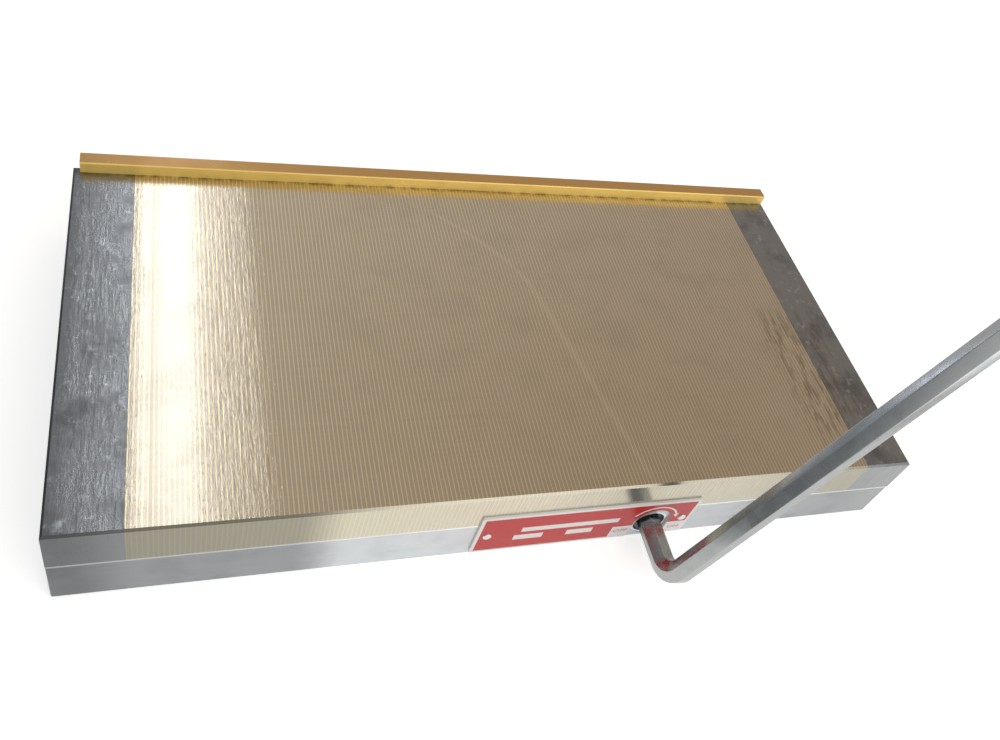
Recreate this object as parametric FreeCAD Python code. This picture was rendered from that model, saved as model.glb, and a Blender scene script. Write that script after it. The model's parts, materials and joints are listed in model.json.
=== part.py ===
import FreeCAD, Part
import math
import os

# Permanent-magnet surface-grinding chuck with a fine-pole laminated face.
# Millimetres.  +X along the chuck, +Y from the operator's side to the stop rail, +Z up.
# The origin is the centre of the ground underside.

# ---- driving dimensions: outside ----
LENGTH = 400.0
WIDTH = 200.0
HEIGHT = 48.0
HOUSING_HEIGHT = 25.0
OUTER_CHAMFER = 0.5
FACE_CHAMFER = 1.0

# ---- laminated pole plate ----
LAMINA_COUNT = 181
LAMINA_THICKNESS = 1.4
SPACER_THICKNESS = 0.5

# ---- housing ----
SIDE_WALL = 22.0
END_WALL = 28.0
CAVITY_CORNER = 6.0
COVER_THICKNESS = 4.5
COVER_LEDGE = 7.0
COVER_CORNER = 4.0
COVER_GAP = 0.2
CLAMP_SLOT_LENGTH = 120.0
CLAMP_SLOT_HEIGHT = 8.0
CLAMP_SLOT_DEPTH = 9.0
CLAMP_SLOT_Z = 11.0

# ---- screws, pins and rivets ----
PLATE_SCREW_X = 100.0
PLATE_SCREW_Y = 93.0
END_SCREW_X = 189.0
END_SCREW_Y = 80.0
PLATE_SCREW_D = 6.0
PLATE_SCREW_HEAD_D = 10.0
PLATE_SCREW_HEAD = 6.0
PLATE_SCREW_SOCKET = 5.0
PLATE_SCREW_SINK = 0.8
PLATE_THREAD_DEPTH = 9.0
SCREW_CLEARANCE = 0.3
DOWEL_D = 8.0
DOWEL_Y = 40.0
DOWEL_DEPTH = 7.0
COVER_SCREW_D = 3.0
COVER_SCREW_HEAD_D = 6.0
COVER_SCREW_LENGTH = 9.0
COVER_SCREW_X = (-120.0, 0.0, 120.0)
COVER_SCREW_END_Y = 50.0
RAIL_SCREW_X = (-150.0, -50.0, 50.0, 150.0)
RAIL_SCREW_Z = 14.0
RAIL_SCREW_D = 5.0
RAIL_SCREW_HEAD_D = 9.5
RAIL_SCREW_HEAD = 2.7
RAIL_SCREW_SOCKET = 3.0
RAIL_SCREW_DEPTH = 10.0
SOCKET_SHARE = 0.5
DRIVE_SLOT_SHARE = 0.1

# ---- stop rail ----
RAIL_LENGTH = 396.0
RAIL_CENTRE_X = 1.2
RAIL_LAP = 4.0
RAIL_THICKNESS = 4.0
RAIL_RISE = 6.0
RAIL_FOOT_Z = 6.0
RAIL_CHAMFER = 0.5
RAIL_SEAT_DEPTH = 2.0
RAIL_RELIEF = 0.3

# ---- nameplate ----
PLATE_LEFT = -29.5
PLATE_RIGHT = 82.0
PLATE_BOTTOM = 2.0
PLATE_TOP = 32.4
PLATE_SHEET = 1.0
PLATE_CORNER = 0.8
PLATE_CUTOUT_R = 9.7
PLATE_CUTOUT_Z = 15.3
RIVET_X = (-24.0, 77.0)
RIVET_Z = 16.0
RIVET_D = 2.5
RIVET_HEAD_D = 4.2
RIVET_HEAD = 0.9
RIVET_DEPTH = 5.0

# ---- eccentric shaft ----
SHAFT_X = 60.6
SHAFT_Z = 12.0
KEY_ANGLE = 72.0
OFF_ANGLE = 180.0
THROW = 2.0
CAM_R = 4.5
FRONT_JOURNAL_R = 8.0
FRONT_JOURNAL_LENGTH = 8.9
SHAFT_SINK = 4.6
SHAFT_CHAMFER = 0.5
SHOULDER_R = 6.6
REAR_JOURNAL_R = 4.5
REAR_JOURNAL_LENGTH = 14.4
RUNNING_FIT = 0.05
BUSH_WALL = 1.45
BUSH_SINK = 0.2
FRONT_BUSH_LENGTH = 13.5
REAR_BUSH_LENGTH = 14.0
REAR_BORE_SPARE = 0.5
STOP_PIN_Y = -90.8
STOP_PIN_R = 1.6
STOP_SCREW_R = 2.5
STOP_SCREW_SINK = 0.4
STOP_SCREW_SOCKET = 1.6
STOP_GROOVE_WIDTH = 4.0
STOP_GROOVE_DEPTH = 1.2
STOP_GROOVE_SPARE = 1.5
STOP_CLEARANCE = 0.3
SEAL_Y = -87.6
SEAL_WIDTH = 1.0
SEAL_DEPTH = 1.2

# ---- hex key ----
KEY_AF = 10.0
SOCKET_AF = 10.2
KEY_STANDOFF = 30.1
KEY_SHORT = 45.0
KEY_LONG = 220.0
KEY_BEND_R = 10.0
KEY_TIP_CHAMFER = 0.8
SOCKET_SPARE = 0.4

# ---- magnet slider ----
SLIDE_STRIP = 1.0
SLIDE_STRIP_WIDTH = 9.0
WEAR_SHEET = 0.5
SLIDE_GAP = 0.3
SIDE_GAP = 0.4
SLIDER_HALF_LENGTH = 169.3
COMB_RAIL_WIDTH = 8.0
COMB_SLOT_DEPTH = 4.0
COMB_SLOT_FIT = 0.1
POLE_BAR = 5.0
MAGNET = 8.0
ROWS_LEFT = 15
ROWS_RIGHT = 6
MAGNETS_PER_ROW = 3
MAGNET_GAP = 0.2
MAGNET_Z0 = 7.0
MAGNET_Z1 = 23.0
DRIVE_BAR = 6.0
DRIVE_GAP = 0.6
SLIDER_SCREW_D = 3.0
SLIDER_SCREW_HEAD_D = 6.0
SLIDER_SCREW_LENGTH = 16.0
SLIDER_SCREW_INSET = 4.0

# ---- modelling allowances ----
CUTTER_SPARE = 1.0
MOSTLY_ALONG = 0.9
NEAR = 0.01

# ---- derived places ----
HALF_L = LENGTH / 2.0
HALF_W = WIDTH / 2.0
FRONT_Y = -HALF_W
CAVITY_X = HALF_L - END_WALL
CAVITY_Y = HALF_W - SIDE_WALL
COVER_X = CAVITY_X + COVER_LEDGE
COVER_Y = CAVITY_Y + COVER_LEDGE
STACK_LENGTH = LAMINA_COUNT * LAMINA_THICKNESS + (LAMINA_COUNT + 1) * SPACER_THICKNESS
STACK_X = STACK_LENGTH / 2.0
PLATE_THREAD_TOP = HOUSING_HEIGHT + PLATE_THREAD_DEPTH
SLIDER_BOTTOM = COVER_THICKNESS + SLIDE_STRIP + SLIDE_GAP
SLIDER_TOP = HOUSING_HEIGHT - WEAR_SHEET - SLIDE_GAP
SLIDER_Y = CAVITY_Y - SIDE_GAP
COMB_INNER_Y = SLIDER_Y - COMB_RAIL_WIDTH
BAR_HALF_LENGTH = COMB_INNER_Y + COMB_SLOT_DEPTH - COMB_SLOT_FIT
SCREW_ROW_Z = (SLIDER_BOTTOM + SLIDER_TOP) / 2.0
ROW_PITCH = POLE_BAR + MAGNET
FRONT_BORE_R = FRONT_JOURNAL_R + RUNNING_FIT + BUSH_WALL
FRONT_BUSH_END = FRONT_Y + BUSH_SINK + FRONT_BUSH_LENGTH
REAR_BORE_R = REAR_JOURNAL_R + RUNNING_FIT + BUSH_WALL
REAR_BUSH_END = CAVITY_Y + REAR_BUSH_LENGTH
RAIL_LEFT = RAIL_CENTRE_X - RAIL_LENGTH / 2.0
RAIL_SEAT_Y = HALF_W - RAIL_LAP
RAIL_SEAT_Z = HEIGHT - RAIL_SEAT_DEPTH
# The key stands between OFF (arm to -X) and ON (arm to +X).  The slider follows the shaft in
# proportion to its turn, so its place at rest is that share of its whole travel.
TURNED = OFF_ANGLE - KEY_ANGLE
SLIDER_SHIFT = THROW * (2.0 * TURNED / OFF_ANGLE - 1.0)
DRIVE_X = SHAFT_X + SLIDER_SHIFT
SLOT_HALF = CAM_R + DRIVE_GAP
DRIVE_LEFT_X = DRIVE_X - SLOT_HALF - DRIVE_BAR
DRIVE_RIGHT_X = DRIVE_X + SLOT_HALF + DRIVE_BAR
SLIDER_LEFT_X = SLIDER_SHIFT - SLIDER_HALF_LENGTH
SLIDER_RIGHT_X = SLIDER_SHIFT + SLIDER_HALF_LENGTH
PACK_LEFT_X = DRIVE_LEFT_X - ROWS_LEFT * ROW_PITCH - POLE_BAR
PACK_RIGHT_X = DRIVE_RIGHT_X + ROWS_RIGHT * ROW_PITCH + POLE_BAR

AXIS_X = FreeCAD.Vector(1, 0, 0)
AXIS_Y = FreeCAD.Vector(0, 1, 0)
AXIS_Z = FreeCAD.Vector(0, 0, 1)
SHAFT_POINT = FreeCAD.Vector(SHAFT_X, 0, SHAFT_Z)


# ---- helpers ----
def block(x0, x1, y0, y1, z0, z1):
    """A box between two corners."""
    return Part.makeBox(x1 - x0, y1 - y0, z1 - z0, FreeCAD.Vector(x0, y0, z0))


def rod_y(radius, y0, y1, x=SHAFT_X, z=SHAFT_Z):
    """A cylinder along Y, on the shaft's axis unless another place is given."""
    return Part.makeCylinder(radius, y1 - y0, FreeCAD.Vector(x, y0, z), AXIS_Y)


def rod_z(radius, x, y, z0, z1):
    """A cylinder along Z."""
    return Part.makeCylinder(radius, z1 - z0, FreeCAD.Vector(x, y, z0), AXIS_Z)


def prism(points, direction):
    """The outline through these points, pushed along a direction."""
    return Part.Face(Part.makePolygon(points + points[:1])).extrude(direction)


def hex_outline(across_flats, centre, first, second):
    """A hexagon whose first corner lies along the first of two unit directions."""
    radius = across_flats / math.sqrt(3.0)
    points = []
    for corner in range(6):
        turn = math.radians(60.0 * corner)
        points.append(centre + first * (radius * math.cos(turn)) + second * (radius * math.sin(turn)))
    return points


def runs_along(edge, axis):
    return abs(edge.tangentAt(edge.FirstParameter).dot(axis)) > MOSTLY_ALONG


def rounded_block(half_x, half_y, z0, z1, corner):
    """A box centred on the origin in plan, with round upright corners."""
    solid = block(-half_x, half_x, -half_y, half_y, z0, z1)
    return solid.makeFillet(corner, [edge for edge in solid.Edges if runs_along(edge, AXIS_Z)])


def socket_screw(diameter, length, head_d, head, across_flats):
    """A hexagon-socket screw standing on its head: socket below, shank up."""
    origin = FreeCAD.Vector(0, 0, 0)
    socket = prism(hex_outline(across_flats, origin, AXIS_X, AXIS_Y), AXIS_Z * (SOCKET_SHARE * head))
    body = rod_z(head_d / 2.0, 0, 0, 0, head).fuse(rod_z(diameter / 2.0, 0, 0, head, head + length))
    return body.removeSplitter().cut(socket)


def countersunk_blank(diameter, length, head_d):
    """A countersunk screw's outline standing on its head, which also cuts its own hole."""
    head = (head_d - diameter) / 2.0
    cone = Part.makeCone(head_d / 2.0, diameter / 2.0, head)
    return cone.fuse(rod_z(diameter / 2.0, 0, 0, head, length)).removeSplitter()


def slotted(blank, head_d):
    """The same screw with a straight slot across its head."""
    half = DRIVE_SLOT_SHARE * head_d
    return blank.cut(block(-head_d, head_d, -half, half, 0, half))


def moved(shape, x, y, z):
    """A copy of a shape, shifted."""
    copy = shape.copy()
    copy.translate(FreeCAD.Vector(x, y, z))
    return copy


def turned(shape, point, axis, degrees):
    """A copy of a shape, turned about an axis through a point."""
    copy = shape.copy()
    copy.rotate(point, axis, degrees)
    return copy


# ---- places that more than one piece shares ----
def plate_screw_places():
    """Where the pole plate is screwed down: along both long walls and at the ends."""
    along = [(x, y) for y in (-PLATE_SCREW_Y, PLATE_SCREW_Y) for x in (-PLATE_SCREW_X, 0.0, PLATE_SCREW_X)]
    ends = [(x, y) for x in (-END_SCREW_X, END_SCREW_X) for y in (-END_SCREW_Y, END_SCREW_Y)]
    return along + ends


def dowel_places():
    return [(-END_SCREW_X, DOWEL_Y), (END_SCREW_X, -DOWEL_Y)]


def cover_screw_places():
    side = CAVITY_Y + COVER_LEDGE / 2.0
    end = CAVITY_X + COVER_LEDGE / 2.0
    places = [(x, y) for y in (-side, side) for x in COVER_SCREW_X]
    return places + [(x, y) for x in (-end, end) for y in (-COVER_SCREW_END_Y, COVER_SCREW_END_Y)]


# ---- housing and cover ----
def clamp_slot(side):
    """Round-ended pocket in an end face, where a toe clamp holds the chuck down."""
    radius = CLAMP_SLOT_HEIGHT / 2.0
    reach = CLAMP_SLOT_LENGTH / 2.0 - radius
    x0 = min(side * HALF_L, side * (HALF_L - CLAMP_SLOT_DEPTH))
    slot = block(x0, x0 + CLAMP_SLOT_DEPTH, -reach, reach, CLAMP_SLOT_Z - radius, CLAMP_SLOT_Z + radius)
    for y in (-reach, reach):
        end = Part.makeCylinder(radius, CLAMP_SLOT_DEPTH, FreeCAD.Vector(x0, y, CLAMP_SLOT_Z), AXIS_X)
        slot = slot.fuse(end)
    return slot.removeSplitter()


def housing():
    """Milled ring with the magnet cavity, the cover's rebate, the shaft bores and clamp slots."""
    outside = block(-HALF_L, HALF_L, -HALF_W, HALF_W, 0, HOUSING_HEIGHT)
    solid = outside.makeChamfer(OUTER_CHAMFER, outside.Edges)
    cuts = [
        rounded_block(CAVITY_X, CAVITY_Y, 0, HOUSING_HEIGHT, CAVITY_CORNER),
        rounded_block(COVER_X, COVER_Y, 0, COVER_THICKNESS, COVER_CORNER),
        rod_y(FRONT_BORE_R, FRONT_Y, FRONT_BUSH_END),
        rod_y(SHOULDER_R + RUNNING_FIT, FRONT_BUSH_END, -CAVITY_Y),
        rod_y(REAR_BORE_R, CAVITY_Y, REAR_BUSH_END + REAR_BORE_SPARE),
        rod_z(STOP_SCREW_R, SHAFT_X, STOP_PIN_Y, 0, SHAFT_Z - FRONT_JOURNAL_R),
        clamp_slot(-1),
        clamp_slot(1),
    ]
    for x, y in plate_screw_places():
        sunk = PLATE_SCREW_SINK + PLATE_SCREW_HEAD
        cuts.append(rod_z(PLATE_SCREW_HEAD_D / 2.0 + SCREW_CLEARANCE, x, y, 0, sunk))
        cuts.append(rod_z(PLATE_SCREW_D / 2.0 + SCREW_CLEARANCE, x, y, sunk, HOUSING_HEIGHT))
    for x, y in dowel_places():
        cuts.append(rod_z(DOWEL_D / 2.0, x, y, HOUSING_HEIGHT - DOWEL_DEPTH, HOUSING_HEIGHT))
    for x, y in cover_screw_places():
        cuts.append(rod_z(COVER_SCREW_D / 2.0, x, y, COVER_THICKNESS, COVER_SCREW_LENGTH))
    for x in RAIL_SCREW_X:
        cuts.append(rod_y(RAIL_SCREW_D / 2.0, HALF_W - RAIL_SCREW_DEPTH, HALF_W, x, RAIL_SCREW_Z))
    for x in RIVET_X:
        cuts.append(rod_y(RIVET_D / 2.0, FRONT_Y, FRONT_Y + RIVET_DEPTH, x, RIVET_Z))
    return solid.cut(cuts)


def bottom_cover():
    """Plate let into the underside and ground flush with it."""
    plate = rounded_block(COVER_X - COVER_GAP, COVER_Y - COVER_GAP, 0, COVER_THICKNESS, COVER_CORNER)
    blank = countersunk_blank(COVER_SCREW_D, COVER_SCREW_LENGTH, COVER_SCREW_HEAD_D)
    return plate.cut([moved(blank, x, y, 0) for x, y in cover_screw_places()])


def cover_screws():
    blank = countersunk_blank(COVER_SCREW_D, COVER_SCREW_LENGTH, COVER_SCREW_HEAD_D)
    screw = slotted(blank, COVER_SCREW_HEAD_D)
    return [moved(screw, x, y, 0) for x, y in cover_screw_places()]


# ---- laminated pole plate ----
def face_strip(x0, x1, rear):
    """A slice of the pole plate, full depth: flat foot, a rear outline, and a broken front edge."""
    outline = [(-HALF_W, HOUSING_HEIGHT), (HALF_W, HOUSING_HEIGHT)] + rear
    outline += [(FACE_CHAMFER - HALF_W, HEIGHT), (-HALF_W, HEIGHT - FACE_CHAMFER)]
    return prism([FreeCAD.Vector(x0, y, z) for y, z in outline], AXIS_X * (x1 - x0))


def seated_strip(x0, x1):
    """A slice whose rear edge is rebated as the stop rail's seat."""
    return face_strip(x0, x1, [(HALF_W, RAIL_SEAT_Z), (RAIL_SEAT_Y, RAIL_SEAT_Z), (RAIL_SEAT_Y, HEIGHT)])


def plate_hole(x, y):
    """Tapped hole for one of the screws that pull the pole plate down."""
    return rod_z(PLATE_SCREW_D / 2.0, x, y, HOUSING_HEIGHT, PLATE_THREAD_TOP)


def lamination_stack():
    """Brass spacers and steel laminae in turn, brass outermost, with the screw holes they share."""
    steel = []
    brass = []
    x0 = -STACK_X
    for index in range(2 * LAMINA_COUNT + 1):
        is_spacer = index % 2 == 0
        x1 = x0 + (SPACER_THICKNESS if is_spacer else LAMINA_THICKNESS)
        strip = seated_strip(x0, x1)
        reach = PLATE_SCREW_D / 2.0
        holes = [plate_hole(x, y) for x, y in plate_screw_places() if x0 - reach < x < x1 + reach]
        if holes:
            strip = strip.cut(holes)
        (brass if is_spacer else steel).append(strip)
        x0 = x1
    return steel, brass


def end_block(side):
    """Solid steel block that closes the stack at one end and is doweled to the housing.

    The stop rail's seat is cut from just inside the left end and runs out at the right."""
    inner = STACK_X
    edge = HALF_L - FACE_CHAMFER
    outline = [(inner, HOUSING_HEIGHT), (HALF_L, HOUSING_HEIGHT), (HALF_L, HEIGHT - FACE_CHAMFER),
               (edge, HEIGHT), (inner, HEIGHT)]
    across = prism([FreeCAD.Vector(side * x, -HALF_W, z) for x, z in outline], AXIS_Y * WIDTH)
    broken_rear = [(HALF_W, HEIGHT - FACE_CHAMFER), (HALF_W - FACE_CHAMFER, HEIGHT)]
    ends = sorted([side * inner, side * HALF_L])
    solid = across.common(face_strip(ends[0], ends[1], broken_rear))
    cuts = [block(RAIL_LEFT, HALF_L, RAIL_SEAT_Y, HALF_W, RAIL_SEAT_Z, HEIGHT)]
    cuts += [plate_hole(x, y) for x, y in plate_screw_places() if x * side > inner]
    for x, y in dowel_places():
        if x * side > 0:
            cuts.append(rod_z(DOWEL_D / 2.0, x, y, HOUSING_HEIGHT, HOUSING_HEIGHT + DOWEL_DEPTH))
    return solid.cut(cuts)


def pole_plate_screws():
    length = PLATE_THREAD_TOP - PLATE_SCREW_SINK - PLATE_SCREW_HEAD
    screw = socket_screw(PLATE_SCREW_D, length, PLATE_SCREW_HEAD_D, PLATE_SCREW_HEAD, PLATE_SCREW_SOCKET)
    return [moved(screw, x, y, PLATE_SCREW_SINK) for x, y in plate_screw_places()]


def dowel_pins():
    low = HOUSING_HEIGHT - DOWEL_DEPTH
    high = HOUSING_HEIGHT + DOWEL_DEPTH
    return [rod_z(DOWEL_D / 2.0, x, y, low, high) for x, y in dowel_places()]


def wear_sheet():
    """Thin bronze sheet under the pole plate, over the cavity, that the slider runs beneath."""
    return rounded_block(CAVITY_X, CAVITY_Y, HOUSING_HEIGHT - WEAR_SHEET, HOUSING_HEIGHT, CAVITY_CORNER)


# ---- stop rail ----
def stop_rail():
    """Brass angle bedded in the plate's rear rebate, which stands above the working face.

    Its front is relieved below the working face, so that it beds on the seat's floor."""
    back = HALF_W + RAIL_THICKNESS
    top = HEIGHT + RAIL_RISE
    relieved = RAIL_SEAT_Y + RAIL_RELIEF
    c = RAIL_CHAMFER
    outline = [(relieved, RAIL_SEAT_Z), (relieved, HEIGHT), (RAIL_SEAT_Y, HEIGHT), (RAIL_SEAT_Y, top - c),
               (RAIL_SEAT_Y + c, top), (back - c, top), (back, top - c), (back, RAIL_FOOT_Z + c),
               (back - c, RAIL_FOOT_Z), (HALF_W, RAIL_FOOT_Z), (HALF_W, RAIL_SEAT_Z)]
    rail = prism([FreeCAD.Vector(RAIL_LEFT, y, z) for y, z in outline], AXIS_X * RAIL_LENGTH)
    radius = RAIL_SCREW_D / 2.0
    return rail.cut([rod_y(radius, HALF_W, back, x, RAIL_SCREW_Z) for x in RAIL_SCREW_X])


def rail_screws():
    """Low-head screws from behind, through the rail into the housing's rear wall."""
    length = RAIL_THICKNESS + RAIL_SCREW_DEPTH
    screw = socket_screw(RAIL_SCREW_D, length, RAIL_SCREW_HEAD_D, RAIL_SCREW_HEAD, RAIL_SCREW_SOCKET)
    screw = turned(screw, FreeCAD.Vector(0, 0, 0), AXIS_X, 90)
    seat = HALF_W + RAIL_THICKNESS + RAIL_SCREW_HEAD
    return [moved(screw, x, seat, RAIL_SCREW_Z) for x in RAIL_SCREW_X]


# ---- nameplate ----
def nameplate():
    """Sheet plate with a U-shaped cut-out, open below, round the end of the shaft."""
    back = FRONT_Y
    front = FRONT_Y - PLATE_SHEET
    plate = block(PLATE_LEFT, PLATE_RIGHT, front, back, PLATE_BOTTOM, PLATE_TOP)
    corners = [edge for edge in plate.Edges if runs_along(edge, AXIS_Y)]
    plate = plate.makeFillet(PLATE_CORNER, corners)
    left = SHAFT_X - PLATE_CUTOUT_R
    right = SHAFT_X + PLATE_CUTOUT_R
    cuts = [rod_y(PLATE_CUTOUT_R, front, back, SHAFT_X, PLATE_CUTOUT_Z),
            block(left, right, front, back, PLATE_BOTTOM, PLATE_CUTOUT_Z)]
    cuts += [rod_y(RIVET_D / 2.0, front, back, x, RIVET_Z) for x in RIVET_X]
    return plate.cut(cuts)


def nameplate_rivets():
    """Hammer-drive rivets with low domed heads."""
    radius = RIVET_HEAD_D / 2.0
    ball = (radius * radius + RIVET_HEAD * RIVET_HEAD) / (2.0 * RIVET_HEAD)
    front = FRONT_Y - PLATE_SHEET
    rivets = []
    for x in RIVET_X:
        centre = FreeCAD.Vector(x, front - RIVET_HEAD + ball, RIVET_Z)
        dome = Part.makeSphere(ball, centre).common(rod_y(radius, front - RIVET_HEAD, front, x, RIVET_Z))
        shank = rod_y(RIVET_D / 2.0, front, FRONT_Y + RIVET_DEPTH, x, RIVET_Z)
        rivets.append(dome.fuse(shank).removeSplitter())
    return rivets


# ---- shaft and its bearings ----
def bush(inner, outer, y0, y1):
    return rod_y(outer, y0, y1).cut(rod_y(inner, y0, y1))


def front_bush():
    """Hardened sleeve whose end shows round the shaft, drilled below for the turn-stop screw."""
    sleeve = bush(FRONT_JOURNAL_R + RUNNING_FIT, FRONT_BORE_R, FRONT_Y + BUSH_SINK, FRONT_BUSH_END)
    return sleeve.cut(rod_z(STOP_SCREW_R, SHAFT_X, STOP_PIN_Y, 0, SHAFT_Z))


def rear_bush():
    return bush(REAR_JOURNAL_R + RUNNING_FIT, REAR_BORE_R, CAVITY_Y, REAR_BUSH_END)


def turn_stop_screw():
    """Dog-point screw from below whose point runs in the shaft's part groove."""
    seat = SHAFT_Z - FRONT_JOURNAL_R - STOP_CLEARANCE
    tip = SHAFT_Z - FRONT_JOURNAL_R + STOP_GROOVE_DEPTH - STOP_CLEARANCE
    screw = rod_z(STOP_SCREW_R, SHAFT_X, STOP_PIN_Y, STOP_SCREW_SINK, seat)
    screw = screw.fuse(rod_z(STOP_PIN_R, SHAFT_X, STOP_PIN_Y, seat, tip)).removeSplitter()
    centre = FreeCAD.Vector(SHAFT_X, STOP_PIN_Y, STOP_SCREW_SINK)
    socket = prism(hex_outline(STOP_SCREW_R, centre, AXIS_X, AXIS_Y), AXIS_Z * STOP_SCREW_SOCKET)
    return screw.cut(socket)


def stop_groove():
    """Groove round part of the front journal: half a turn, plus the stop pin's width."""
    floor_r = FRONT_JOURNAL_R - STOP_GROOVE_DEPTH
    spare = math.degrees(math.asin(STOP_PIN_R / floor_r)) + STOP_GROOVE_SPARE
    origin = FreeCAD.Vector(0, 0, 0)
    sweep = OFF_ANGLE + 2.0 * spare
    sector = Part.makeCylinder(FRONT_JOURNAL_R + CUTTER_SPARE, STOP_GROOVE_WIDTH, origin, AXIS_Z, sweep)
    groove = sector.cut(rod_z(floor_r, 0, 0, 0, STOP_GROOVE_WIDTH))
    # Laid along +Y the sector starts at +X and runs down.  The pin stands straight below the axis.
    groove = turned(groove, origin, AXIS_X, -90)
    groove = moved(groove, SHAFT_X, STOP_PIN_Y - STOP_GROOVE_WIDTH / 2.0, SHAFT_Z)
    return turned(groove, SHAFT_POINT, AXIS_Y, 90.0 - KEY_ANGLE - spare)


def cam_centre():
    """The eccentric lies towards -X at OFF and turns over the top to +X at ON."""
    angle = math.radians(OFF_ANGLE + TURNED)
    return SHAFT_X + THROW * math.cos(angle), SHAFT_Z - THROW * math.sin(angle)


def key_hexagon(across_flats, centre, across):
    """The key's section: corners square to its bend plane."""
    return hex_outline(across_flats, centre, AXIS_Z, across)


def on_shaft(shape):
    """Takes a shape drawn with the key's long arm along +X to the shaft, with the arm raised."""
    placed = turned(shape, FreeCAD.Vector(0, 0, 0), AXIS_Y, -KEY_ANGLE)
    return moved(placed, SHAFT_X, 0, SHAFT_Z)


def seal_ring(outer):
    """A ring in the seal's groove, out to a radius."""
    return bush(FRONT_JOURNAL_R - SEAL_DEPTH, outer, SEAL_Y - SEAL_WIDTH / 2.0, SEAL_Y + SEAL_WIDTH / 2.0)


def eccentric_shaft():
    """Shaft with a hexagon socket in its front journal and an eccentric right across the cavity."""
    face = FRONT_Y + SHAFT_SINK
    journal_end = face + FRONT_JOURNAL_LENGTH
    cam_end = CAVITY_Y - SIDE_GAP
    cam_x, cam_z = cam_centre()
    nose = Part.makeCone(FRONT_JOURNAL_R - SHAFT_CHAMFER, FRONT_JOURNAL_R, SHAFT_CHAMFER,
                         FreeCAD.Vector(SHAFT_X, face, SHAFT_Z), AXIS_Y)
    shaft = nose.fuse([
        rod_y(FRONT_JOURNAL_R, face + SHAFT_CHAMFER, journal_end),
        rod_y(SHOULDER_R, journal_end, -CAVITY_Y),
        rod_y(CAM_R, -CAVITY_Y, cam_end, cam_x, cam_z),
        rod_y(REAR_JOURNAL_R, cam_end, cam_end + REAR_JOURNAL_LENGTH),
    ])
    socket_end = FRONT_Y - KEY_STANDOFF + KEY_SHORT + SOCKET_SPARE
    outline = key_hexagon(SOCKET_AF, FreeCAD.Vector(0, face, 0), AXIS_X)
    socket = on_shaft(prism(outline, AXIS_Y * (socket_end - face)))
    return shaft.cut([socket, stop_groove(), seal_ring(FRONT_JOURNAL_R + CUTTER_SPARE)])


def shaft_seal():
    """Square-section felt ring in the front journal's groove."""
    return seal_ring(FRONT_JOURNAL_R)


# ---- hex key ----
def hex_key():
    """Bent hexagon bar: short arm in the shaft's socket, long arm the lever."""
    elbow_y = FRONT_Y - KEY_STANDOFF
    tip_y = elbow_y + KEY_SHORT
    bend_y = elbow_y + KEY_BEND_R
    start = key_hexagon(KEY_AF, FreeCAD.Vector(0, bend_y, 0), AXIS_X)
    short_arm = prism(start, AXIS_Y * (tip_y - bend_y))
    hinge_point = FreeCAD.Vector(KEY_BEND_R, bend_y, 0)
    bend = Part.Face(Part.makePolygon(start + start[:1])).revolve(hinge_point, AXIS_Z, 90)
    outline = key_hexagon(KEY_AF, FreeCAD.Vector(KEY_BEND_R, elbow_y, 0), AXIS_Y)
    long_arm = prism(outline, AXIS_X * (KEY_LONG - KEY_BEND_R))
    key = short_arm.fuse([bend, long_arm]).removeSplitter()
    tips = []
    for edge in key.Edges:
        at_short_tip = all(abs(v.Y - tip_y) < NEAR for v in edge.Vertexes)
        at_long_tip = all(abs(v.X - KEY_LONG) < NEAR for v in edge.Vertexes)
        if at_short_tip or at_long_tip:
            tips.append(edge)
    return on_shaft(key.makeChamfer(KEY_TIP_CHAMFER, tips))


# ---- magnet slider ----
def pole_bar_starts():
    """The left side of each pole bar, from left to right."""
    left = [DRIVE_LEFT_X - POLE_BAR - ROW_PITCH * row for row in range(ROWS_LEFT, -1, -1)]
    return left + [DRIVE_RIGHT_X + ROW_PITCH * row for row in range(ROWS_RIGHT + 1)]


def magnet_starts():
    """The left side of each row of magnets, from left to right."""
    left = [DRIVE_LEFT_X - ROW_PITCH * row for row in range(ROWS_LEFT, 0, -1)]
    return left + [DRIVE_RIGHT_X + POLE_BAR + ROW_PITCH * row for row in range(ROWS_RIGHT)]


def cross_bar(x0, thickness):
    """A bar across the slider whose ends sit in the comb rails' slots."""
    return block(x0, x0 + thickness, -BAR_HALF_LENGTH, BAR_HALF_LENGTH, SLIDER_BOTTOM, SLIDER_TOP)


def pole_bars():
    return [cross_bar(x0, POLE_BAR) for x0 in pole_bar_starts()]


def magnets():
    """Ferrite blocks, magnetised across their thickness, three to a row between the pole bars."""
    step = (2.0 * COMB_INNER_Y - MAGNET_GAP) / MAGNETS_PER_ROW
    blocks = []
    for x0 in magnet_starts():
        for number in range(MAGNETS_PER_ROW):
            y0 = -COMB_INNER_Y + MAGNET_GAP + step * number
            blocks.append(block(x0, x0 + MAGNET, y0, y0 + step - MAGNET_GAP, MAGNET_Z0, MAGNET_Z1))
    return blocks


def slider_screw_blanks():
    """The countersunk screws through the comb rails into the end bars, without their slots."""
    blank = countersunk_blank(SLIDER_SCREW_D, SLIDER_SCREW_LENGTH, SLIDER_SCREW_HEAD_D)
    origin = FreeCAD.Vector(0, 0, 0)
    places = []
    for x in (PACK_LEFT_X - SLIDER_SCREW_INSET, PACK_RIGHT_X + SLIDER_SCREW_INSET):
        places.append(moved(turned(blank, origin, AXIS_X, -90), x, -SLIDER_Y, SCREW_ROW_Z))
        places.append(moved(turned(blank, origin, AXIS_X, 90), x, SLIDER_Y, SCREW_ROW_Z))
    return places


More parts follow.
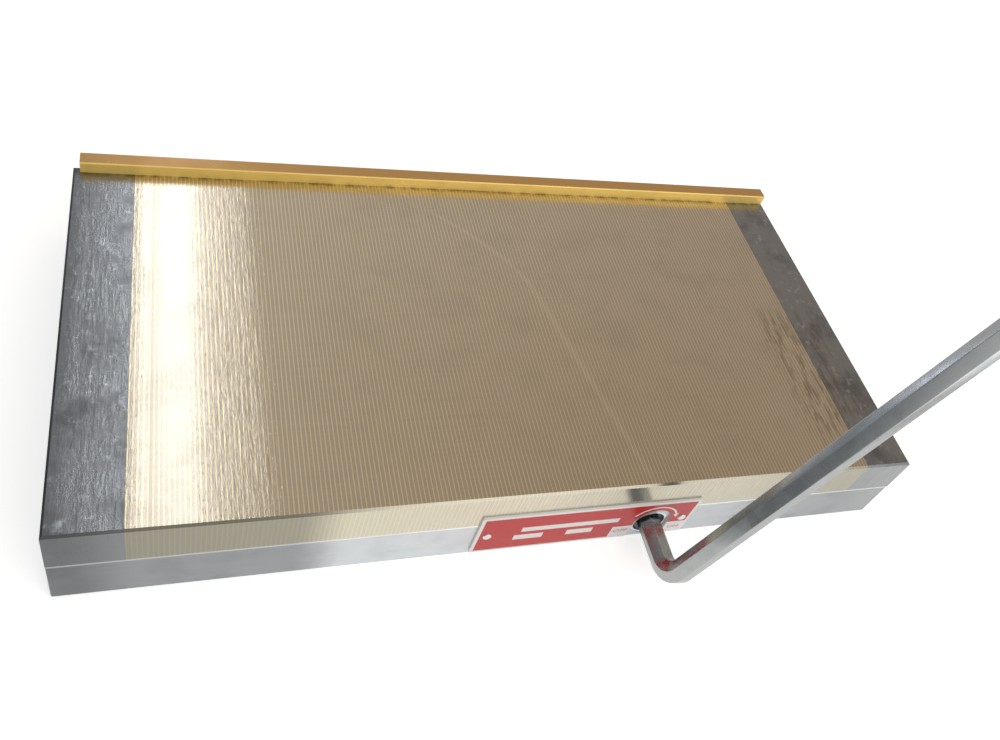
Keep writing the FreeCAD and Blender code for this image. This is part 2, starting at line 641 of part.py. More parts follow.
def slider_screws():
    half = DRIVE_SLOT_SHARE * SLIDER_SCREW_HEAD_D
    slots = []
    low = SCREW_ROW_Z - half
    high = SCREW_ROW_Z + half
    for y0 in (-SLIDER_Y, SLIDER_Y - half):
        slots.append(block(SLIDER_LEFT_X, SLIDER_RIGHT_X, y0, y0 + half, low, high))
    return [blank.cut(slots) for blank in slider_screw_blanks()]


def comb_rail(side):
    """Long side of the slider: slotted for the cross bars, notched over the eccentric, and with
    its outer corners rounded to pass the cavity's."""
    y0 = min(side * COMB_INNER_Y, side * SLIDER_Y)
    y1 = y0 + COMB_RAIL_WIDTH
    rail = block(SLIDER_LEFT_X, SLIDER_RIGHT_X, y0, y1, SLIDER_BOTTOM, SLIDER_TOP)
    upright = [edge for edge in rail.Edges if runs_along(edge, AXIS_Z)]
    outer = [edge for edge in upright if abs(edge.Vertexes[0].Y - side * SLIDER_Y) < NEAR]
    rail = rail.makeFillet(CAVITY_CORNER, outer)
    slot_0 = min(side * COMB_INNER_Y, side * (COMB_INNER_Y + COMB_SLOT_DEPTH))
    slot_1 = slot_0 + COMB_SLOT_DEPTH
    bars = [(x0, x0 + POLE_BAR) for x0 in pole_bar_starts()]
    bars += [(DRIVE_LEFT_X, DRIVE_LEFT_X + DRIVE_BAR), (DRIVE_RIGHT_X - DRIVE_BAR, DRIVE_RIGHT_X)]
    cuts = [block(x0, x1, slot_0, slot_1, SLIDER_BOTTOM, SLIDER_TOP) for x0, x1 in bars]
    notch_top = SHAFT_Z + THROW + SLOT_HALF
    cuts.append(block(DRIVE_X - SLOT_HALF, DRIVE_X + SLOT_HALF, y0, y1, SLIDER_BOTTOM, notch_top))
    return rail.cut(cuts + slider_screw_blanks())


def end_bar(x0, x1):
    """Non-magnetic bar that closes the slider at one end."""
    bar = block(x0, x1, -COMB_INNER_Y, COMB_INNER_Y, SLIDER_BOTTOM, SLIDER_TOP)
    return bar.cut(slider_screw_blanks())


def slide_strips():
    """Brass strips on the cover that the comb rails run on."""
    reach = CAVITY_X - CAVITY_CORNER
    top = COVER_THICKNESS + SLIDE_STRIP
    strips = []
    for y0 in (-SLIDER_Y, SLIDER_Y - SLIDE_STRIP_WIDTH):
        strips.append(block(-reach, reach, y0, y0 + SLIDE_STRIP_WIDTH, COVER_THICKNESS, top))
    return strips


# ---- every piece, each in its own file ----
def all_nodes():
    steel_laminae, brass_spacers = lamination_stack()
    return {
        "housing": [housing()],
        "bottom_cover": [bottom_cover()],
        "cover_screws": cover_screws(),
        "end_block_left": [end_block(-1)],
        "end_block_right": [end_block(1)],
        "steel_laminae": steel_laminae,
        "brass_spacers": brass_spacers,
        "pole_plate_screws": pole_plate_screws(),
        "dowel_pins": dowel_pins(),
        "wear_sheet": [wear_sheet()],
        "stop_rail": [stop_rail()],
        "rail_screws": rail_screws(),
        "nameplate": [nameplate()],
        "nameplate_rivets": nameplate_rivets(),
        "front_bush": [front_bush()],
        "rear_bush": [rear_bush()],
        "turn_stop_screw": [turn_stop_screw()],
        "slide_strips": slide_strips(),
        "eccentric_shaft": [eccentric_shaft()],
        "shaft_seal": [shaft_seal()],
        "hex_key": [hex_key()],
        "magnets": magnets(),
        "pole_bars": pole_bars(),
        "comb_rail_front": [comb_rail(-1)],
        "comb_rail_rear": [comb_rail(1)],
        "drive_bar_left": [cross_bar(DRIVE_LEFT_X, DRIVE_BAR)],
        "drive_bar_right": [cross_bar(DRIVE_RIGHT_X - DRIVE_BAR, DRIVE_BAR)],
        "end_bar_left": [end_bar(SLIDER_LEFT_X, PACK_LEFT_X)],
        "end_bar_right": [end_bar(PACK_RIGHT_X, SLIDER_RIGHT_X)],
        "slider_screws": slider_screws(),
    }


os.makedirs("parts", exist_ok=True)
for name, pieces in all_nodes().items():
    solids = [solid for piece in pieces for solid in piece.Solids]
    shape = solids[0] if len(solids) == 1 else Part.makeCompound(solids)
    shape.exportStep("parts/" + name + ".step")
    print(name, len(solids), "solids", round(shape.Volume / 1000.0, 2), "cm3", "valid", shape.isValid())
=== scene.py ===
import json
import math

import bpy
from bpy.props import FloatProperty, FloatVectorProperty, PointerProperty
from mathutils import Matrix, Vector


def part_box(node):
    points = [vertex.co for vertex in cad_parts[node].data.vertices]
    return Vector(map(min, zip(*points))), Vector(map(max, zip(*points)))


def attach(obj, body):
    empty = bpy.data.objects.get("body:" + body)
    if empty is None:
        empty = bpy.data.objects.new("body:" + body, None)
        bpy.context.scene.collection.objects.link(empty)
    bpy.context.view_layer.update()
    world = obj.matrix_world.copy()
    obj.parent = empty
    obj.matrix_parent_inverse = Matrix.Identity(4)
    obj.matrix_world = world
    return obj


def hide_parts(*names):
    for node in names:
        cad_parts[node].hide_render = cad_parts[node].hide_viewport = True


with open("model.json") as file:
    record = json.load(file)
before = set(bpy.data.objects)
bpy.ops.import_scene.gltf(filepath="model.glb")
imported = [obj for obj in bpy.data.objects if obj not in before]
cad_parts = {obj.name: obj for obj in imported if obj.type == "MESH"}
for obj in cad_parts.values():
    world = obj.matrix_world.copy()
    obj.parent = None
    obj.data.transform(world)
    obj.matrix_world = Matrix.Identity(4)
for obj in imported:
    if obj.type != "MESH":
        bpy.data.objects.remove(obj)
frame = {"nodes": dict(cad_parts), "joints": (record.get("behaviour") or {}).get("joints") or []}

bl_info = {
    "name": "Magnetic Chuck",
    "version": (1, 0, 0),
    "blender": (4, 5, 0),
    "location": "3D View > Sidebar > Chuck",
    "description": "Finishes, nameplate print, rivets and hex key of a fine-pole magnetic chuck",
    "category": "Object",
}

MM = 0.001


def linear(code):
    """An sRGB hex colour, such as "a0978a", as linear RGBA."""
    channels = []
    for start in (0, 2, 4):
        value = int(code[start:start + 2], 16) / 255.0
        channels.append(value / 12.92 if value <= 0.04045 else ((value + 0.055) / 1.055) ** 2.4)
    return (*channels, 1.0)


# ---- places and sizes that come from the frame ----
JOINTS = {joint["name"]: joint for joint in frame["joints"]}
SHAFT = Vector(JOINTS["shaft_turn"]["pos_m"])
KEY_ANGLE = math.radians(JOINTS["shaft_turn"]["range_deg"][1])
PLATE_LOW, PLATE_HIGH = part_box("nameplate")
STACK_LOW, STACK_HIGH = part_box("brass_spacers")
RIVETS_LOW, RIVETS_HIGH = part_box("nameplate_rivets")
KEY_LOW, KEY_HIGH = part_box("hex_key")
FACE_Z = STACK_HIGH.z
BODY_HEIGHT = STACK_LOW.z
TO_MM = (1.0 / MM, 1.0 / MM, 1.0 / MM)


# ---- where the finishes change, in millimetres along the chuck's axes ----
FILM_ON_BLOCK_X = (-198.0, -168.0)
FILM_BESIDE_BLOCK_X = (-146.0, -116.0)
FILM_RIGHT_X = (150.0, 190.0)
FILM_RIGHT_Y = (-80.0, 2.0)
DARK_AT_RAIL_Y = (92.5, 95.9)
FRONT_LINES_X = (-90.0, 20.0)

# The scratch's middle is at SCRATCH_X + SCRATCH_SLANT * y, bowed further behind SCRATCH_BEND_Y.
SCRATCH_X = 26.0
SCRATCH_SLANT = -0.24
SCRATCH_BOW = -0.0085
SCRATCH_BEND_Y = 15.0
SCRATCH_Y = (-98.0, 78.0)
SCRATCH_FADE = (0.2, 3.0)

# Painted light and shade standing in for uneven reflections on the front. How its brightness changes along X:
# from where, to where, from what and to what.
LEFT_CORNER = (-194.0, -166.0, 0.33, 0.52)
PAINTED_BRIGHT_LEFT = (-110.0, -86.0, 0.0, 0.48)
PAINTED_SHADE_MIDDLE = (-25.0, 60.0, 0.0, -0.16)
PAINTED_SHADE_RIGHT = (85.0, 172.0, 0.0, -0.26)

# The painted highlight: a thin bright edge where the pole plate meets the body.
JOINT_FADE = (0.25, 0.8)
JOINT_SHINE = 0.55
JOINT_HIGHLIGHT = linear("dfe2e4")


# ---- stage, in metres ----
FLOOR_REACH = 6.0
FLOOR_Z = -0.2 * MM
STRIP_PLACE = (-0.148, 0.80, 0.95)
STRIP_TARGET = (-0.148, 0.0, FACE_Z)
STRIP_SIZE = (0.066, 1.3)
FRONT_PLACE = (0.75, -1.25, 0.95)
FRONT_TARGET = (0.05, 0.0, 0.0)
FRONT_SIZE = (1.2, 1.0)


# ---- print, rivets and key ----
INK_LIFT = 0.04 * MM
INK_THICKNESS = 0.03 * MM

# Each printed word's left edge, foot and width.
WORD_OFF = (42.2 * MM, 7.4 * MM, 7.6 * MM)
WORD_ON = (72.6 * MM, 6.2 * MM, 6.0 * MM)

ARROW_RADIUS = 12.6 * MM
ARROW_CENTRE_Z = 15.3 * MM
ARROW_START = math.radians(152.0)
ARROW_END = math.radians(22.0)
ARROW_STEPS = 32

# The rivet's drive pin, as shares of the head's radius and height.
PIN_RADIUS = 0.34
PIN_DEPTH = 1.9

BEND_STEPS = 28
CORNER_STEPS = 4


# ---- sizes and colours that a user would change ----
class ChuckStage(bpy.types.PropertyGroup):
    floor: FloatVectorProperty(name="Floor", description="Colour of the floor",
                               default=linear("f1f1ef"), size=4, min=0.0, max=1.0, subtype="COLOR")
    sky: FloatProperty(name="Sky", description="Strength of the even light from all round",
                       default=0.95, min=0.0, max=2.0)
    strip: FloatProperty(name="Strip lamp", description="Power of the long narrow lamp behind the chuck",
                         default=1.15, min=0.0, max=200.0, unit="POWER")
    front: FloatProperty(name="Front lamp", description="Power of the large soft lamp in front",
                         default=5.2, min=0.0, max=200.0, unit="POWER")


class ChuckFinish(bpy.types.PropertyGroup):
    lamina: FloatVectorProperty(name="Laminae", description="Colour of the ground steel laminae",
                                default=linear("b8aea0"), size=4, min=0.0, max=1.0, subtype="COLOR")
    spacer: FloatVectorProperty(name="Spacers", description="Colour of the ground brass spacers",
                                default=linear("dccfa6"), size=4, min=0.0, max=1.0, subtype="COLOR")
    end_block: FloatVectorProperty(name="End blocks", description="Colour of the ground end blocks",
                                   default=linear("8d9092"), size=4, min=0.0, max=1.0, subtype="COLOR")
    body: FloatVectorProperty(name="Body", description="Colour of the ground lower body",
                              default=linear("c6c9cc"), size=4, min=0.0, max=1.0, subtype="COLOR")
    rail: FloatVectorProperty(name="Stop rail", description="Colour of the lacquered brass rail",
                              default=linear("eecb70"), size=4, min=0.0, max=1.0, subtype="COLOR")


class ChuckPlate(bpy.types.PropertyGroup):
    enamel: FloatVectorProperty(name="Print", description="Colour of the plate's printed field",
                                default=linear("c0201e"), size=4, min=0.0, max=1.0, subtype="COLOR")
    border: FloatProperty(name="Border", description="Width of the bare border round the print",
                          default=1.7 * MM, min=0.0, max=0.01, unit="LENGTH")
    letter: FloatProperty(name="Letters", description="Height of the lettering",
                          default=3.4 * MM, min=0.001, max=0.01, unit="LENGTH")
    arrow: FloatProperty(name="Arrow", description="Width of the printed arrow's line",
                         default=1.0 * MM, min=0.0002, max=0.005, unit="LENGTH")
    rivet: FloatProperty(name="Rivet head", description="Diameter of a rivet's domed head",
                         default=4.2 * MM, min=0.001, max=0.01, unit="LENGTH")


class ChuckKey(bpy.types.PropertyGroup):
    across_flats: FloatProperty(name="Across flats", description="Size of the hexagon bar",
                                default=10.0 * MM, min=0.002, max=0.03, unit="LENGTH")
    corner: FloatProperty(name="Corner radius", description="Radius along the bar's six edges",
                          default=0.7 * MM, min=0.0, max=0.002, unit="LENGTH")
    bend: FloatProperty(name="Bend radius", description="Radius of the bend, at the bar's centre",
                        default=10.0 * MM, min=0.002, max=0.05, unit="LENGTH")
    long_arm: FloatProperty(name="Long arm", description="Length from the bend's corner to the end",
                            default=220.0 * MM, min=0.05, max=0.5, unit="LENGTH")
    chamfer: FloatProperty(name="End chamfer", description="Bevel round both ends",
                           default=0.8 * MM, min=0.0, max=0.003, unit="LENGTH")


# ---- nodes ----
def add_node(tree, kind, sockets=None, **settings):
    """Adds a node. sockets gives inputs by name or number: a value to set, or an output to link."""
    node = tree.nodes.new(kind)
    for name, value in settings.items():
        setattr(node, name, value)
    for key, value in (sockets or {}).items():
        if isinstance(value, bpy.types.NodeSocket):
            tree.links.new(value, node.inputs[key])
        else:
            node.inputs[key].default_value = value
    return node


def new_material(name):
    """An empty material with its shader and output joined up, ready for patterns."""
    material = bpy.data.materials.new(name)
    material.use_nodes = True
    tree = material.node_tree
    tree.nodes.clear()
    shader = add_node(tree, "ShaderNodeBsdfPrincipled")
    add_node(tree, "ShaderNodeOutputMaterial", {"Surface": shader.outputs["BSDF"]})
    return material, tree, shader


def in_millimetres(tree, stretch=(1.0, 1.0, 1.0)):
    """The piece's own coordinates in millimetres, divided by a stretch for each axis."""
    place = add_node(tree, "ShaderNodeTexCoord").outputs["Object"]
    scale = [to_mm / along for to_mm, along in zip(TO_MM, stretch)]
    return add_node(tree, "ShaderNodeMapping", {"Vector": place, "Scale": scale}).outputs["Vector"]


def grain(tree, place, size, detail=2.0, roughness=0.5, seed=0.0):
    """Noise from 0 to 1 whose blotches are about this many millimetres across."""
    noise = add_node(tree, "ShaderNodeTexNoise",
                     {"Vector": place, "W": seed, "Scale": 1.0 / size,
                      "Detail": detail, "Roughness": roughness},
                     noise_dimensions="4D")
    return noise.outputs["Fac"]


def between(tree, value, low, high, to_low=0.0, to_high=1.0):
    """Smoothly goes from one value to another as its input goes from low to high."""
    return add_node(tree, "ShaderNodeMapRange", {"Value": value, "From Min": low, "From Max": high,
                                                 "To Min": to_low, "To Max": to_high},
                    interpolation_type="SMOOTHSTEP").outputs["Result"]


def combine(tree, operation, *values):
    """Joins numbers in a row with one sum, such as MULTIPLY, ADD or MAXIMUM."""
    result = values[0]
    for value in values[1:]:
        result = add_node(tree, "ShaderNodeMath", {0: result, 1: value}, operation=operation).outputs[0]
    return result


def blend(tree, factor, first, second, mode="MIX"):
    """Mixes two colours; mode MULTIPLY darkens the first by the second."""
    mixed = add_node(tree, "ShaderNodeMix", {0: factor, 6: first, 7: second},
                     data_type="RGBA", blend_type=mode)
    return mixed.outputs[2]


def apart(tree, first, second):
    """How far apart two numbers are."""
    gap = combine(tree, "SUBTRACT", first, second)
    return add_node(tree, "ShaderNodeMath", {0: gap}, operation="ABSOLUTE").outputs[0]


def axes(tree, place):
    """A vector's X, Y and Z."""
    return add_node(tree, "ShaderNodeSeparateXYZ", {0: place}).outputs


def bumped(tree, height, distance, strength=1.0, under=None):
    """A normal raised by a height from 0 to 1, over another normal where there is one."""
    sockets = {"Height": height, "Distance": distance, "Strength": strength}
    if under is not None:
        sockets["Normal"] = under
    return add_node(tree, "ShaderNodeBump", sockets).outputs["Normal"]


def facing_up(tree):
    """1 on the working face and any other level top, 0 on the sides."""
    normal = add_node(tree, "ShaderNodeNewGeometry").outputs["Normal"]
    return between(tree, axes(tree, normal)[2], 0.75, 0.9)


# ---- ground steel and brass ----
def grinding_lines(tree):
    """Fine scratches along the chuck's length on top, and slanting ones on its sides.

    Real lines are hundredths of a millimetre apart; these are drawn ten times as coarse to show."""
    along = grain(tree, in_millimetres(tree, (70.0, 0.35, 0.6)), 1.0, 3.0, 0.6)
    slant = add_node(tree, "ShaderNodeMapping",
                     {"Vector": in_millimetres(tree), "Rotation": (0.0, math.radians(38.0), 0.0),
                      "Scale": (1.0 / 0.5, 1.0 / 0.5, 1.0 / 14.0)}).outputs["Vector"]
    across = grain(tree, slant, 1.0, 2.0, 0.6)
    return along, across


def span(tree, value, low, high, soft):
    """1 between two places, fading to 0 over a soft distance at each end."""
    rise = between(tree, value, low - soft, low + soft)
    fall = between(tree, value, high - soft, high + soft, 1.0, 0.0)
    return combine(tree, "MULTIPLY", rise, fall)


def film_places(tree, x, y):
    """Where preserving oil has dried thick: on and beside the left end block, and at the right front."""
    beside = span(tree, x, *FILM_BESIDE_BLOCK_X, 7.0)
    on_block = span(tree, x, *FILM_ON_BLOCK_X, 4.0)
    right = combine(tree, "MULTIPLY", span(tree, x, *FILM_RIGHT_X, 8.0), span(tree, y, *FILM_RIGHT_Y, 14.0))
    return combine(tree, "MAXIMUM", beside, on_block), right


def painted_front_light(tree, x):
    """Painted light and shade on the front, standing in for uneven reflections: duller at both ends, brighter
    left of the nameplate.
    """
    changes = (LEFT_CORNER, PAINTED_BRIGHT_LEFT, PAINTED_SHADE_MIDDLE, PAINTED_SHADE_RIGHT)
    return combine(tree, "ADD", *[between(tree, x, *change) for change in changes])


def long_scratch(tree, x, y):
    """A faint pale scratch that curves over the working face from the middle to the front."""
    bend = combine(tree, "MAXIMUM", combine(tree, "SUBTRACT", y, SCRATCH_BEND_Y), 0.0)
    bow = combine(tree, "MULTIPLY", bend, bend, SCRATCH_BOW)
    centre = combine(tree, "ADD", combine(tree, "MULTIPLY", y, SCRATCH_SLANT), bow, SCRATCH_X)
    line = between(tree, apart(tree, x, centre), *SCRATCH_FADE, 1.0, 0.0)
    return combine(tree, "MULTIPLY", line, span(tree, y, *SCRATCH_Y, 8.0))


def chamfer_painted_shade(tree):
    """1 on level and upright faces, less on the broken edges between them: painted shade on the chamfers."""
    normal = add_node(tree, "ShaderNodeNewGeometry").outputs["Normal"]
    tilt = axes(tree, normal)[2]
    return combine(tree, "SUBTRACT", 1.0, combine(tree, "MULTIPLY", span(tree, tilt, 0.5, 0.85, 0.08), 0.42))


def grey(tree, value):
    """A number as a colour."""
    return add_node(tree, "ShaderNodeCombineColor", {0: value, 1: value, 2: value}).outputs[0]


def joint_highlighted(tree, z, colour):
    """A colour with a painted highlight: the thin bright edge where the pole plate meets the body."""
    line = between(tree, apart(tree, z, BODY_HEIGHT / MM), *JOINT_FADE, 1.0, 0.0)
    return blend(tree, combine(tree, "MULTIPLY", line, JOINT_SHINE), colour, JOINT_HIGHLIGHT)


def front_finish(tree, colour, x, z, across):
    """The upright faces: slanting lines, painted shade that makes them duller towards the ends and on the
    chamfers, and a painted highlight along the joint.
    """
    slanted = between(tree, across, 0.35, 0.7)
    lines = combine(tree, "MULTIPLY", slanted, between(tree, x, *FRONT_LINES_X, 0.06, 0.24))
    lined = blend(tree, lines, colour, linear("f7f3ea"))
    # Painted light and shade along the front, with painted shade on the chamfers.
    brightness = combine(tree, "MULTIPLY", painted_front_light(tree, x), chamfer_painted_shade(tree))
    return joint_highlighted(tree, z, blend(tree, 1.0, lined, grey(tree, brightness), "MULTIPLY"))


def ground_metal(name, colour, side_painted_colour, roughness, cloudy, lines=0.07, seed=0.0):
    """Surface-ground metal: long fine lines that draw highlights out across them, under dried oil."""
    material, tree, shader = new_material(name)
    up = facing_up(tree)
    place = axes(tree, in_millimetres(tree))
    x, y, z = place[0], place[1], place[2]
    along, across = grinding_lines(tree)
    cloud = grain(tree, in_millimetres(tree), 22.0, 5.0, 0.62, seed)
    wisps = grain(tree, in_millimetres(tree), 5.0, 5.0, 0.68, seed + 7.0)
    beads = grain(tree, in_millimetres(tree), 1.5, 2.0, 0.7, seed + 3.0)
    wrinkles = grain(tree, in_millimetres(tree, (0.7, 4.0, 1.0)), 2.6, 5.0, 0.62, seed + 5.0)
    left, right = film_places(tree, x, y)

    lined = blend(tree, between(tree, along, 0.3, 0.7, 0.0, lines), colour, linear("f2ecdf"))
    darkened = blend(tree, between(tree, cloud, 0.45, 0.72, 0.0, cloudy), lined, linear("5f6062"))
    lightened = blend(tree, between(tree, wisps, 0.54, 0.74, 0.0, cloudy * 0.9),
                      darkened, linear("c4c9cc"))
    stain = combine(tree, "MULTIPLY", between(tree, wrinkles, 0.44, 0.56), right)
    stained = blend(tree, combine(tree, "MULTIPLY", stain, 0.22), lightened, linear("7a6238"))
    creases = combine(tree, "MULTIPLY", between(tree, wrinkles, 0.50, 0.60), right, 0.26)
    creased = blend(tree, creases, stained, linear("4a3f2c"))
    # Darker in spots along the foot of the stop rail.
    at_rail = between(tree, y, *DARK_AT_RAIL_Y)
    rail_foot_dark = combine(tree, "MULTIPLY", at_rail, between(tree, wisps, 0.38, 0.6), 0.65)
    rail_foot_darkened = blend(tree, rail_foot_dark, creased, linear("33291c"))
    specks = combine(tree, "MULTIPLY", between(tree, beads, 0.735, 0.79), 0.7)
    speckled = blend(tree, specks, rail_foot_darkened, linear("fffaf0"))
    scratch = combine(tree, "MULTIPLY", long_scratch(tree, x, y), 0.10)
    scratched = blend(tree, scratch, speckled, linear("fff6e6"))
    # The upright faces take a colour of their own, painted to stand in for how differently they are lit from
    # the top.
    side = front_finish(tree, side_painted_colour, x, z, across)
    tree.links.new(blend(tree, up, side, scratched), shader.inputs["Base Color"])

    dull = combine(tree, "ADD", roughness, between(tree, cloud, 0.35, 0.7, -0.08 * cloudy, 0.12 * cloudy))
    tree.links.new(dull, shader.inputs["Roughness"])
    shader.inputs["Metallic"].default_value = 1.0
    shader.inputs["Anisotropic"].default_value = 0.6
    tangent = add_node(tree, "ShaderNodeTangent", direction_type="RADIAL", axis="X")
    tree.links.new(tangent.outputs["Tangent"], shader.inputs["Tangent"])

    fine = bumped(tree, along, 0.08 * lines * MM, 0.5)
    film = combine(tree, "MULTIPLY", combine(tree, "MAXIMUM", left, right), up)
    ripples = combine(tree, "MULTIPLY", combine(tree, "ADD", wrinkles, wisps), film)
    rippled = bumped(tree, ripples, 0.12 * MM, 0.9, fine)
    drops = combine(tree, "MULTIPLY", between(tree, beads, 0.6, 0.75), film)
    tree.links.new(bumped(tree, drops, 0.08 * MM, 0.9, rippled), shader.inputs["Normal"])
    return material


def lamina_steel(colour):
    # Surface-ground low-carbon steel: warm grey, fine lines along the chuck, silky highlight.
    return ground_metal("surface_ground_lamina_steel", colour, linear("c6c0ae"), 0.215, 0.10)


def spacer_brass(colour):
    # Ground brass strip: pale yellow hairlines between the laminae.
    return ground_metal("surface_ground_spacer_brass", colour, linear("d3cbab"), 0.215, 0.10)


def end_block_steel(colour):
    # Surface-ground steel block, clouded by oil: its top is painted darker and bluer than the laminae and its
    # front, a painted reflection of dim bluish surroundings.
    return ground_metal("surface_ground_end_block_steel", colour, linear("b4b9bc"), 0.27, 0.75, 0.02, 9.0)


def body_steel(colour):
    """Ground low-carbon steel: satin grey with fine lines, with painted shade that makes it duller towards the
    ends.
    """
    material, tree, shader = new_material("ground_body_steel")
    place = axes(tree, in_millimetres(tree))
    lines = grain(tree, in_millimetres(tree, (40.0, 0.5, 0.5)), 1.0, 3.0, 0.6)
    cloud = grain(tree, in_millimetres(tree), 26.0, 4.0, 0.62)
    lined = blend(tree, between(tree, lines, 0.3, 0.7, 0.0, 0.16), colour, linear("eceff2"))
    clouded = blend(tree, between(tree, cloud, 0.45, 0.75, 0.0, 0.24), lined, linear("8b8f94"))
    # Painted light and shade along the front: duller towards both ends, brighter left of the nameplate.
    front_light_painted = blend(tree, 1.0, clouded, grey(tree, painted_front_light(tree, place[0])), "MULTIPLY")
    tree.links.new(joint_highlighted(tree, place[2], front_light_painted), shader.inputs["Base Color"])
    tree.links.new(between(tree, cloud, 0.3, 0.75, 0.34, 0.46), shader.inputs["Roughness"])
    shader.inputs["Metallic"].default_value = 1.0
    tree.links.new(bumped(tree, lines, 0.02 * MM, 0.5), shader.inputs["Normal"])
    return material


def rail_brass(colour):
    """Drawn brass under clear lacquer: clear gold in front, with painted shade that makes the top brown."""
    material, tree, shader = new_material("drawn_lacquered_brass")
    lines = grain(tree, in_millimetres(tree, (90.0, 0.4, 0.4)), 1.0, 2.0)
    cloud = grain(tree, in_millimetres(tree), 14.0, 3.0)
    # Painted shade: the top is painted browner than the front.
    wear_and_shade = blend(tree, facing_up(tree), colour, linear("b98d50"))
    lined = blend(tree, between(tree, lines, 0.35, 0.7, 0.0, 0.14), wear_and_shade, linear("b98a35"))
    tree.links.new(blend(tree, between(tree, cloud, 0.5, 0.75, 0.0, 0.12), lined, linear("9a6a25")),
                   shader.inputs["Base Color"])
    tree.links.new(between(tree, cloud, 0.3, 0.7, 0.26, 0.36), shader.inputs["Roughness"])
    shader.inputs["Metallic"].default_value = 0.35
    tree.links.new(bumped(tree, lines, 0.02 * MM, 0.4), shader.inputs["Normal"])
    return material


# ---- small metal finishes ----
def machined(name, colour, wear_and_shade, roughness, stretch, metallic=1.0):
    """A machined or rolled surface: one colour wearing towards another along its tool lines."""
    material, tree, shader = new_material(name)
    lines = grain(tree, in_millimetres(tree, stretch), 1.0, 3.0, 0.6)
    cloud = grain(tree, in_millimetres(tree), 9.0, 3.0)
    mottled = combine(tree, "MULTIPLY", between(tree, cloud, 0.3, 0.75), 0.35)
    lined = blend(tree, between(tree, lines, 0.35, 0.7, 0.0, 0.35), linear(colour), linear(wear_and_shade))
    tree.links.new(blend(tree, mottled, lined, linear(wear_and_shade)), shader.inputs["Base Color"])
    tree.links.new(between(tree, cloud, 0.3, 0.7, roughness - 0.05, roughness + 0.08),
                   shader.inputs["Roughness"])
    shader.inputs["Metallic"].default_value = metallic
    tree.links.new(bumped(tree, lines, 0.03 * MM, 0.5), shader.inputs["Normal"])
    return material


def small_finishes():
    """The finishes of the pieces inside, below and behind, by the node that has them."""
    black = machined("black_oxide_steel", "2a2b2d", "4a4b4d", 0.42, (2.0, 2.0, 0.4), 0.9)
    turned = machined("turned_alloy_steel", "8f9194", "c3c5c8", 0.24, (0.5, 0.4, 0.5))
    sleeve = machined("hardened_turned_sleeve", "c4c6c8", "eceef0", 0.2, (0.5, 0.4, 0.5))
    bronze = machined("sintered_bronze", "9a7347", "b8945f", 0.46, (1.0, 1.0, 1.0))
    strip = machined("rolled_brass_strip", "c4a457", "dcc07a", 0.3, (30.0, 0.5, 0.5))
    felt = machined("oiled_felt", "3d3831", "5a5348", 0.95, (0.6, 0.6, 0.6), 0.0)
    ferrite = machined("sintered_ferrite", "2c2d30", "3f4145", 0.7, (1.0, 1.0, 1.0), 0.1)
    aluminium = machined("milled_aluminium", "b9bcc0", "d8dadd", 0.34, (6.0, 0.6, 0.6))
    bar = machined("cold_rolled_steel_bar", "85888c", "a5a8ac", 0.36, (0.5, 20.0, 0.5))
    return {
        "cover_screws": black, "pole_plate_screws": black, "rail_screws": black,
        "turn_stop_screw": black, "slider_screws": black,
        "eccentric_shaft": turned, "dowel_pins": turned, "front_bush": sleeve,
        "rear_bush": bronze, "wear_sheet": bronze, "slide_strips": strip,
        "shaft_seal": felt, "magnets": ferrite,
        "comb_rail_front": aluminium, "comb_rail_rear": aluminium,
        "end_bar_left": aluminium, "end_bar_right": aluminium,
        "pole_bars": bar, "drive_bar_left": bar, "drive_bar_right": bar,
    }


def plated_key_steel():
    """Zinc-plated hexagon bar: bright grey with soft cloudy stains and faint drawing lines."""
    material, tree, shader = new_material("zinc_plated_bar_steel")
    lines = grain(tree, in_millimetres(tree, (14.0, 0.5, 14.0)), 1.0, 2.0)
    cloud = grain(tree, in_millimetres(tree), 11.0, 4.0, 0.6)
    stains = grain(tree, in_millimetres(tree), 5.0, 3.0, 0.6, 4.0)
    lined = blend(tree, between(tree, lines, 0.35, 0.7, 0.0, 0.2), linear("a6a9a9"), linear("bcbfbf"))
    cooled = blend(tree, between(tree, cloud, 0.45, 0.7, 0.0, 0.45), lined, linear("a3abb1"))
    tree.links.new(blend(tree, between(tree, stains, 0.55, 0.75, 0.0, 0.35), cooled, linear("8e8b94")),
                   shader.inputs["Base Color"])
    tree.links.new(between(tree, cloud, 0.3, 0.7, 0.20, 0.34), shader.inputs["Roughness"])
    shader.inputs["Metallic"].default_value = 1.0
    tree.links.new(bumped(tree, cloud, 0.06 * MM, 0.3), shader.inputs["Normal"])
    return material


def rivet_aluminium():
    """Satin aluminium: pale and soft, lightly dented by the hammer."""
    return machined("satin_rivet_aluminium", "cfd1d3", "e6e8ea", 0.32, (0.6, 0.6, 0.6))


# ---- nameplate ----
def rectangle(tree, x, z, left, right, low, high, soft=0.06):
    """1 inside a rectangle of the plate's face, with edges as soft as printing ink's."""
    return combine(tree, "MULTIPLY", span(tree, x, left, right, soft), span(tree, z, low, high, soft))


def blank_boxes():
    """The boxes left bare for a stamp, in millimetres: left, right, low and high."""
    return [(-8.0, 41.5, 17.4, 21.2), (-10.5, 4.0, 10.4, 14.6), (16.0, 29.5, 10.4, 14.6)]


def word_panels():
    """The bare panels under OFF and ON, which run down to the plate's foot."""
    low = PLATE_LOW.z / MM
    return [(40.6, 51.5, low, 12.6), (70.0, PLATE_HIGH.x / MM, low, 12.2)]


